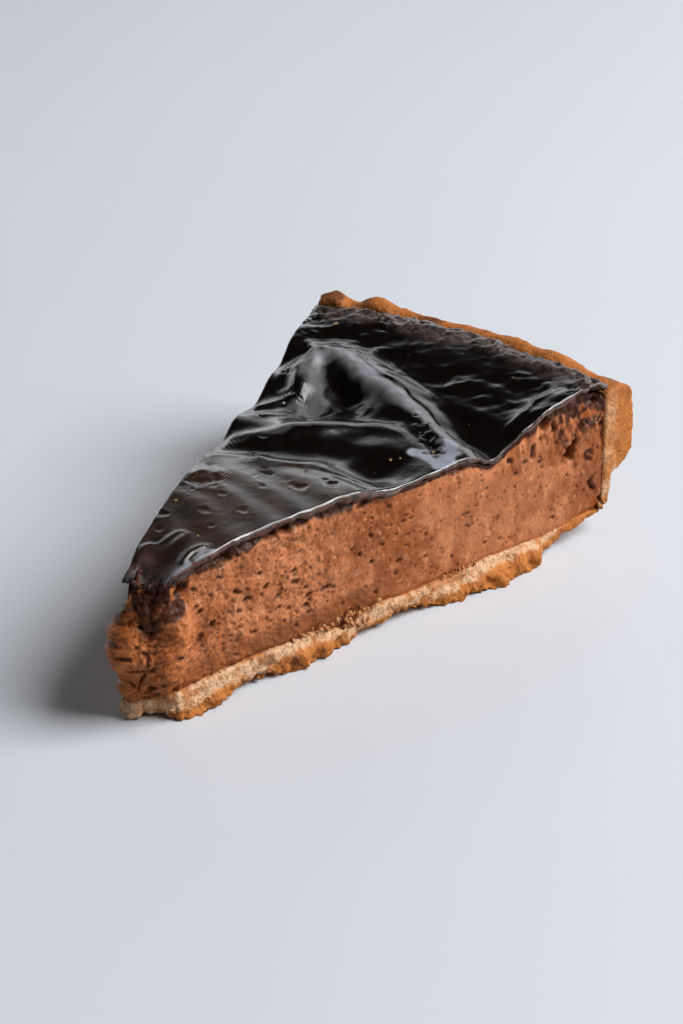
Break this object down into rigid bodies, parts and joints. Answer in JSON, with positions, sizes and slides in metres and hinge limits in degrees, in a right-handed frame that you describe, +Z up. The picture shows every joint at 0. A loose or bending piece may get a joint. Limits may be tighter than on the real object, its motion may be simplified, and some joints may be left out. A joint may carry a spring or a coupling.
{
  "type": "slice of chocolate tart",
  "caption": "Wedge slice of baked chocolate tart: browned pastry crust, porous milk chocolate filling and a wrinkled, glossy dark chocolate top.",
  "frame": {"origin": "on the table under the middle of the slice's bounding box", "axes": "+X from the tip towards the crust wall, +Y towards the left cut seen from the tip, +Z up"},
  "size_m": [0.118, 0.0716, 0.0342],
  "materials": {
    "baked_pastry": "browned shortcrust, dry and crumbly, paler where it is cut",
    "chocolate_filling": "baked chocolate cream, porous, slightly moist at the cut",
    "dark_glaze": "dark chocolate skin, glossy and wrinkled"
  },
  "bodies": {
    "root": {"crust": "baked_pastry", "filling": "chocolate_filling", "glaze": "dark_glaze"}
  },
  "joints": []
}
